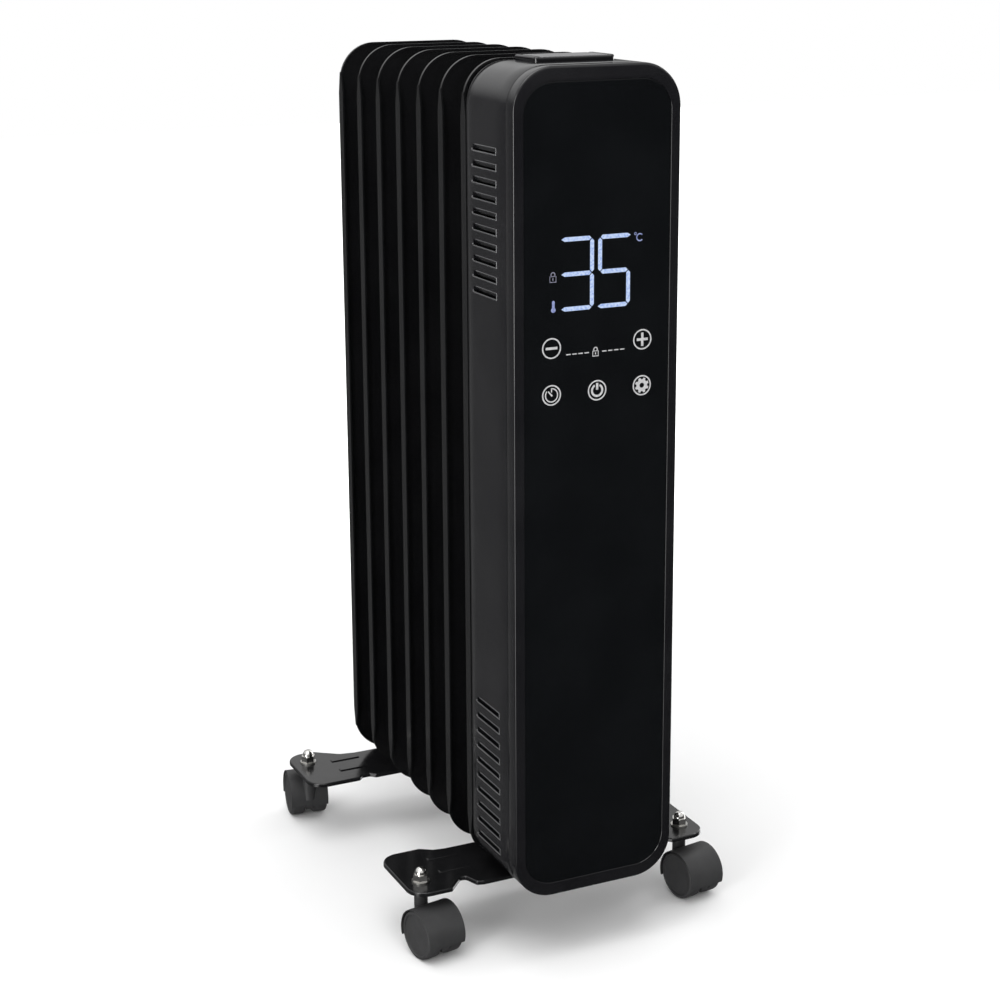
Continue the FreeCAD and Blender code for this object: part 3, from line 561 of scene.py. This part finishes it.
def make_shell():
    """The rear shell: outer and inner skin, with the vent slots and the finger opening cut through both."""
    mid = BODY_Z0 + BODY_H / 2
    cuts = [z + rise - mid for z in vent_levels() for rise in (0.0, VENT_H)]
    line = spine(BODY_W, BODY_H, BODY_R, xs=(-GRIP_X, GRIP_X), zs=cuts, n=16)
    stops = (VENT_D[0], GRIP_D, VENT_D[1])
    outer = [(12.05, 0.5), (12.3, 0.12), (12.7, 0.0)] + [(d, 0.0) for d in stops]
    outer += [(SHELL_D - 0.35, 0.0), (SHELL_D - 0.15, 0.08), (SHELL_D - 0.05, 0.3)]
    inner = [(SHELL_D - 0.05, WALL)] + [(d, WALL) for d in reversed(stops)] + [(12.05, WALL)]
    rows = outer + inner
    n, m = len(line), len(rows)
    verts = rings(line, BODY_R, rows, facing(mid))
    out_row = {d: j for j, (d, _) in enumerate(outer)}
    in_row = {d: len(outer) + j for j, (d, _) in enumerate(inner)}
    heights = [verts[i][2] for i in range(n)]

    def vent_at(i):
        """Whether the strip from spine point i to the next lies in a vent slot."""
        k = (i + 1) % n
        middle = (heights[i] + heights[k]) / 2
        upright = abs(line[i][2]) > 0.9 and abs(line[k][2]) > 0.9
        return upright and any(z < middle < z + VENT_H for z in vent_levels())

    def grip_at(i):
        """Whether the strip lies in the finger opening."""
        k = (i + 1) % n
        return line[i][3] == 1 and line[k][3] == 1 and abs(line[i][0] + line[k][0]) < 1e-6

    cut = {}
    for i in range(n):
        if vent_at(i):
            first, last = VENT_D
            cut[i] = (out_row[first], out_row[last], in_row[last], in_row[first])
        elif grip_at(i):
            cut[i] = (out_row[GRIP_D], None, None, in_row[GRIP_D])
    faces = []
    for i in range(n):
        k = (i + 1) % n
        for j in range(m):
            if i not in cut or not in_cut(j, cut[i]):
                faces.append((j * n + i, j * n + k, (j + 1) % m * n + k, (j + 1) % m * n + i))
    for i, (a, b, c, d) in cut.items():
        k = (i + 1) % n
        faces.append((a * n + i, a * n + k, d * n + k, d * n + i))
        if b is not None:
            faces.append((b * n + i, b * n + k, c * n + k, c * n + i))
        for beyond, edge in (((i - 1) % n, i), (k, k)):
            if beyond not in cut:
                loop = range(a, d + 1) if b is None else [*range(a, b + 1), *range(c, d + 1)]
                faces.append(tuple(j * n + edge for j in loop))
    ob = piece("rear_shell", verts, faces, "black_gloss")
    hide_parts("rear_housing")


def in_cut(row, rows):
    """Whether the face from this row to the next is cut away."""
    a, b, c, d = rows
    if b is None:
        return a <= row < d
    return a <= row < b or c <= row < d


def make_vent_details():
    """Louvre blades in the slots, the moulded bead round each slot, and the pip at its rear end. The beads
    and pips are coloured much paler than the black shell, as a painted highlight.
    """
    half = BODY_W / 2
    blades, beads = Soup(), Soup()
    d0, d1 = VENT_D
    for z in vent_levels():
        high = z + VENT_H
        for s in (-1, 1):
            section = [(half - 0.4, high), (half - 1.0, high), (half - 2.45, z + 1.0), (half - 1.9, z + 1.0)]
            verts = [(s * x, FRONT + d, zz) for d in (d0, d1) for x, zz in section]
            blades.add(verts, bands(4, 2) + [(0, 1, 2, 3), (4, 5, 6, 7)])
            bead(beads, s, [(d1, z - 0.3), (d0 - 0.5, z - 0.3)], 0.5)
            bead(beads, s, [(d0 - 0.5, z - 0.5), (d0 - 0.5, high + 0.5)], 0.6)
            bead(beads, s, [(d0 - 0.5, high + 0.25), (d1 - 4.0, high + 0.25)], 0.3)
            pip(beads, s, d1 + 1.2, z + 0.4, 0.95)
    piece("vent_blades", blades.verts, blades.faces, "black_gloss")
    # painted highlight: the beads and pips get the pale copy of the black plastic, so they read as bright
    # edge lines and dots
    piece("vent_beads_painted_highlight", beads.verts, beads.faces, "bead_painted_highlight", sharp=60.0)


def bead(soup, s, path, width, n=7):
    """A half-round ridge on a side wall, straight from one (depth, height) to another."""
    (da, za), (db, zb) = path
    size = math.hypot(db - da, zb - za)
    across = (-(zb - za) / size, (db - da) / size)
    rows = []
    for d, z in path:
        for q in range(n):
            t = math.pi * q / (n - 1)
            off = width * math.cos(t)
            out = BODY_W / 2 - 0.08 + 0.5 * math.sin(t)
            rows.append((s * out, FRONT + d + off * across[0], z + off * across[1]))
    soup.add(rows, bands(n, 2) + [tuple(range(n)), tuple(range(n, 2 * n))])


def pip(soup, s, d, z, r, n=10):
    """A small round dome on a side wall."""
    rows = [(BODY_W / 2 + 0.45 * math.sin(t), r * math.cos(t)) for t in (0.0, 0.5, 0.95, 1.3)]
    rows = [(BODY_W / 2 - 0.3, r)] + rows
    verts = [(s * x, FRONT + d + q * math.cos(2 * math.pi * k / n), z + q * math.sin(2 * math.pi * k / n))
             for x, q in rows for k in range(n)]
    soup.add(verts, bands(n, len(rows)) + [tuple(range(n)), tuple(range((len(rows) - 1) * n, len(rows) * n))])


def make_handle():
    """The raised grip: a base with rounded rims, two rolled ends and a paler pad let in between."""
    lo, hi = HANDLE_LO, HANDLE_HI
    w, depth = hi.x - lo.x, hi.y - lo.y
    cy = (lo.y + hi.y) / 2
    base_z = SHELL_HI.z

    def upward(x0):
        return lambda x, y, h: (x0 + x, cy + y, base_z + h)

    rise = hi.z - base_z
    line = spine(w, depth, 3.5, n=8)
    rows = [(-0.8, 0.0), (rise - 1.5, 0.0), (rise - 1.0, 0.1), (rise - 0.75, 0.35), (rise - 0.6, 0.8),
            (rise - 0.6, 2.5)]
    verts, faces = slab(line, 3.5, rows, upward(0.0))
    base = piece("grip_base", verts, faces, "bezel_gloss")
    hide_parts("top_handle")
    soup = Soup()
    roll = 5.3
    for s in (-1, 1):
        line = spine(roll, depth, 2.6, n=8)
        rows = [(rise - 1.8, 0.0), (rise - 1.2, 0.0), (rise - 0.55, 0.25), (rise - 0.18, 0.7), (rise, 1.4),
                (rise, 2.2)]
        verts, faces = slab(line, 2.6, rows, upward(s * (w / 2 - roll / 2)))
        soup.add(verts, faces)
    piece("grip_rolls", soup.verts, soup.faces, "bezel_gloss")
    line = spine(w - 2 * roll - 0.5, depth - 2.4, 1.4, n=6)
    rows = [(rise - 1.2, 0.0), (rise - 0.45, 0.0), (rise - 0.22, 0.12), (rise - 0.12, 0.4),
            (rise - 0.12, 1.3)]
    verts, faces = slab(line, 1.4, rows, upward(0.0))
    pad = piece("grip_pad", verts, faces, "pad_grey")
    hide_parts("handle_pad")


# ---------------------------------------------------------------- caster wheels

WHEEL_SIDE = 3.4                        # inner face of a wheel, from the middle of its caster
WHEEL_FACE = 14.9                       # outer face of a wheel


def lathe(name, origin, axis, profile, mat, body, n=56):
    """A turned solid: profile is (along, radius) from one end of the axis to the other."""
    along = Vector(axis).normalized()
    side = along.cross(Vector((0, 0, 1))).normalized()
    up = side.cross(along)
    verts = []
    for t, r in profile:
        for k in range(n):
            a = 2 * math.pi * k / n
            verts.append(Vector(origin) + along * t + side * (r * math.cos(a)) + up * (r * math.sin(a)))
    faces = bands(n, len(profile)) + [tuple(range(n)), tuple(range((len(profile) - 1) * n, len(profile) * n))]
    return piece(name, verts, faces, mat, body=body, sharp=40.0)


def make_wheels():
    """Twin wheels with a plain dished face, turned about their joints' axes, and the axles between them."""
    r = (WHEEL_HI.z - WHEEL_LO.z) / 2
    a, b = WHEEL_SIDE, WHEEL_FACE
    profile = [(a + 7.0, AXLE_R + 0.1), (a, AXLE_R + 0.1), (a, r - 2.2), (a + 0.4, r - 0.8),
               (a + 1.3, r - 0.1), (a + 2.2, r), (b - 2.6, r), (b - 1.5, r - 0.15), (b - 0.6, r - 0.7),
               (b - 0.1, r - 1.6), (b, r - 2.2), (b - 0.1, r - 2.7), (b - 0.5, r - 3.0), (b - 0.9, r - 3.1),
               (b - 1.0, r - 3.5), (b - 0.95, r - 8.0), (b - 0.8, 4.0), (b - 0.78, 0.4)]
    for joint in frame["joints"]:
        kind, _, key = joint["name"].partition("_")
        if kind != "roll":
            continue
        origin = [v / MM for v in joint["pos_m"]]
        lo, hi = box_mm("wheel_" + key)
        out = ((lo + hi) / 2 - Vector(origin)).dot(Vector(joint["axis"]))
        axis = [v * (1 if out > 0 else -1) for v in joint["axis"]]
        wheel = lathe("tyre_" + key, origin, axis, profile, "caster_grey", joint["child"])
        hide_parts("wheel_" + key)
        if key.endswith("_a"):
            pin = [(-b + 3.0, AXLE_R - 0.4), (-b + 3.4, AXLE_R), (b - 3.4, AXLE_R), (b - 3.0, AXLE_R - 0.4)]
            axle = lathe("pin_" + key[:-2], origin, axis, pin, "zinc", joint["parent"], n=24)
            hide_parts("caster_axle_" + key[:-2])


# ---------------------------------------------------------------- CAD nodes that keep their shape

NODE_MATERIAL = {
    "fin_": "fin_black", "front_bracket": "bracket_black", "rear_bracket": "bracket_black",
    "caster_hood": "caster_grey", "caster_stems": "caster_grey",
    "dome_nuts": "chrome", "stem_washers": "zinc", "u_bolts": "zinc", "u_bolt_nuts": "zinc",
}


def dress_nodes():
    """Gives each CAD node the finish that its record slot names."""
    for name, node in frame["nodes"].items():
        finish = next((m for start, m in NODE_MATERIAL.items() if name.startswith(start)), None)
        if finish is None and node.data.materials and node.data.materials[0]:
            finish = node.data.materials[0].name.split(".")[0]
        mat = MAT.get(finish, MAT["black_gloss"])
        if len(node.data.materials) == 0:
            node.data.materials.append(mat)
        for k in range(len(node.data.materials)):
            node.data.materials[k] = mat


# ---------------------------------------------------------------- studio


def make_floor():
    """A wide pale floor with a faint unevenness."""
    n = 24
    size = 12.0
    verts = [(size * (i / n - 0.5), size * (j / n - 0.5), 0.0) for j in range(n + 1) for i in range(n + 1)]
    faces = [(j * (n + 1) + i, j * (n + 1) + i + 1, (j + 1) * (n + 1) + i + 1, (j + 1) * (n + 1) + i)
             for j in range(n) for i in range(n)]
    me = bpy.data.meshes.new("studio_floor")
    me.from_pydata(verts, [], faces)
    node = Nodes("studio_floor")
    colour = node.mix(node.ramp(node.noise(1.2, 3.0), 0.3, 0.7), (0.90, 0.90, 0.90), (0.93, 0.93, 0.93))
    node.shader(colour, 0.8, Specular_IOR_Level=0.1)
    fade_to_white(node)
    me.materials.append(node.mat)
    ob = bpy.data.objects.new("studio_floor", me)
    bpy.context.scene.collection.objects.link(ob)
    ob.visible_glossy = False


def fade_to_white(node):
    """Lights the floor evenly away from the object, so that it runs into the backdrop."""
    tree = node.tree
    shader = next(x for x in tree.nodes if x.type == "BSDF_PRINCIPLED")
    reach = node.add("ShaderNodeVectorMath", operation="LENGTH")
    tree.links.new(node.coord, reach.inputs[0])
    far = node.ramp(reach.outputs["Value"], 0.35, 1.1)
    shader.inputs["Emission Color"].default_value = (1, 1, 1, 1)
    tree.links.new(far, shader.inputs["Emission Strength"])


def softbox(name, where, size, power, aim=(0.0, 0.0, 0.32)):
    light = bpy.data.lights.new(name, "AREA")
    light.shape = "RECTANGLE"
    light.size, light.size_y = size
    light.energy = power
    ob = bpy.data.objects.new(name, light)
    ob.location = where
    ob.rotation_euler = (Vector(aim) - Vector(where)).to_track_quat("-Z", "Y").to_euler()
    ob.visible_camera = False
    bpy.context.scene.collection.objects.link(ob)


def make_world():
    """A white backdrop to the eye; to the lights, a dome that is pale above and dim below the horizon."""
    world = bpy.data.worlds.new("studio")
    bpy.context.scene.world = world
    world.use_nodes = True
    tree = world.node_tree
    tree.nodes.clear()
    coord = tree.nodes.new("ShaderNodeTexCoord")
    split = tree.nodes.new("ShaderNodeSeparateXYZ")
    tree.links.new(coord.outputs["Generated"], split.inputs[0])
    def ramp(value, ends, to):
        node = tree.nodes.new("ShaderNodeMapRange")
        node.interpolation_type = "SMOOTHSTEP"
        for key, v in zip(("From Min", "From Max", "To Min", "To Max"), ends + to):
            node.inputs[key].default_value = v
        tree.links.new(value, node.inputs["Value"])
        return node.outputs["Result"]

    def total(a, b, op="ADD"):
        node = tree.nodes.new("ShaderNodeMath")
        node.operation = op
        tree.links.new(a, node.inputs[0])
        tree.links.new(b, node.inputs[1])
        return node.outputs[0]

    def towards(aim):
        node = tree.nodes.new("ShaderNodeVectorMath")
        node.operation = "DOT_PRODUCT"
        tree.links.new(coord.outputs["Generated"], node.inputs[0])
        node.inputs[1].default_value = aim
        return node.outputs["Value"]

    sky = ramp(split.outputs["Z"], (-0.02, 0.42), (0.0, 1.1))
    rear = ramp(split.outputs["Y"], (-0.3, 0.5), (0.06, 0.17))
    lamps = total(ramp(towards((-0.89, -0.42, -0.17)), (0.93, 0.98), (0.0, 5.0)),
                  ramp(towards((0.88, 0.42, -0.20)), (0.93, 0.98), (0.0, 3.0)))
    dome = tree.nodes.new("ShaderNodeBackground")
    tree.links.new(total(total(sky, rear, "MAXIMUM"), lamps), dome.inputs["Strength"])
    white = tree.nodes.new("ShaderNodeBackground")
    white.inputs["Strength"].default_value = 1.0
    white.inputs["Color"].default_value = (1, 1, 1, 1)
    path = tree.nodes.new("ShaderNodeLightPath")
    mix = tree.nodes.new("ShaderNodeMixShader")
    tree.links.new(path.outputs["Is Camera Ray"], mix.inputs[0])
    tree.links.new(dome.outputs[0], mix.inputs[1])
    tree.links.new(white.outputs[0], mix.inputs[2])
    out = tree.nodes.new("ShaderNodeOutputWorld")
    tree.links.new(mix.outputs[0], out.inputs["Surface"])


CAMERA_AT = (-0.61669, -1.32676, 0.71483)
CAMERA_YAW, CAMERA_PITCH, CAMERA_ROLL = 25.161, 13.696, 0.344   # degrees


def make_camera():
    cam = bpy.data.cameras.new("camera")
    cam.sensor_width = 36.0
    cam.lens = 71.99
    cam.shift_y = -0.08
    cam.clip_start, cam.clip_end = 0.05, 60.0
    ob = bpy.data.objects.new("camera", cam)
    yaw, pitch, roll = (math.radians(a) for a in (CAMERA_YAW, CAMERA_PITCH, CAMERA_ROLL))
    ahead = Vector((math.sin(yaw) * math.cos(pitch), math.cos(yaw) * math.cos(pitch), -math.sin(pitch)))
    right = Vector((math.cos(yaw), -math.sin(yaw), 0.0))
    down = ahead.cross(right)
    level_right, level_down = right, down
    right = math.cos(roll) * level_right + math.sin(roll) * level_down
    down = math.cos(roll) * level_down - math.sin(roll) * level_right
    turn = Matrix((right, -down, -ahead)).transposed().to_4x4()
    ob.matrix_world = Matrix.Translation(CAMERA_AT) @ turn
    bpy.context.scene.collection.objects.link(ob)
    bpy.context.scene.camera = ob


def main():
    make_camera()
    make_bezel()
    make_glass()
    make_digits()
    make_marks()
    make_shell()
    make_vent_details()
    make_handle()
    make_wheels()
    dress_nodes()
    make_floor()
    make_world()
    softbox("top_softbox", (-0.5, -0.4, 2.4), (2.0, 2.0), 30.0)
    softbox("left_strip", (-2.0, -1.3, 0.8), (0.5, 1.8), 18.0)
    softbox("right_strip", (2.0, 0.9, 0.8), (0.5, 1.8), 14.0)
    bpy.context.scene.view_settings.view_transform = "Standard"


main()
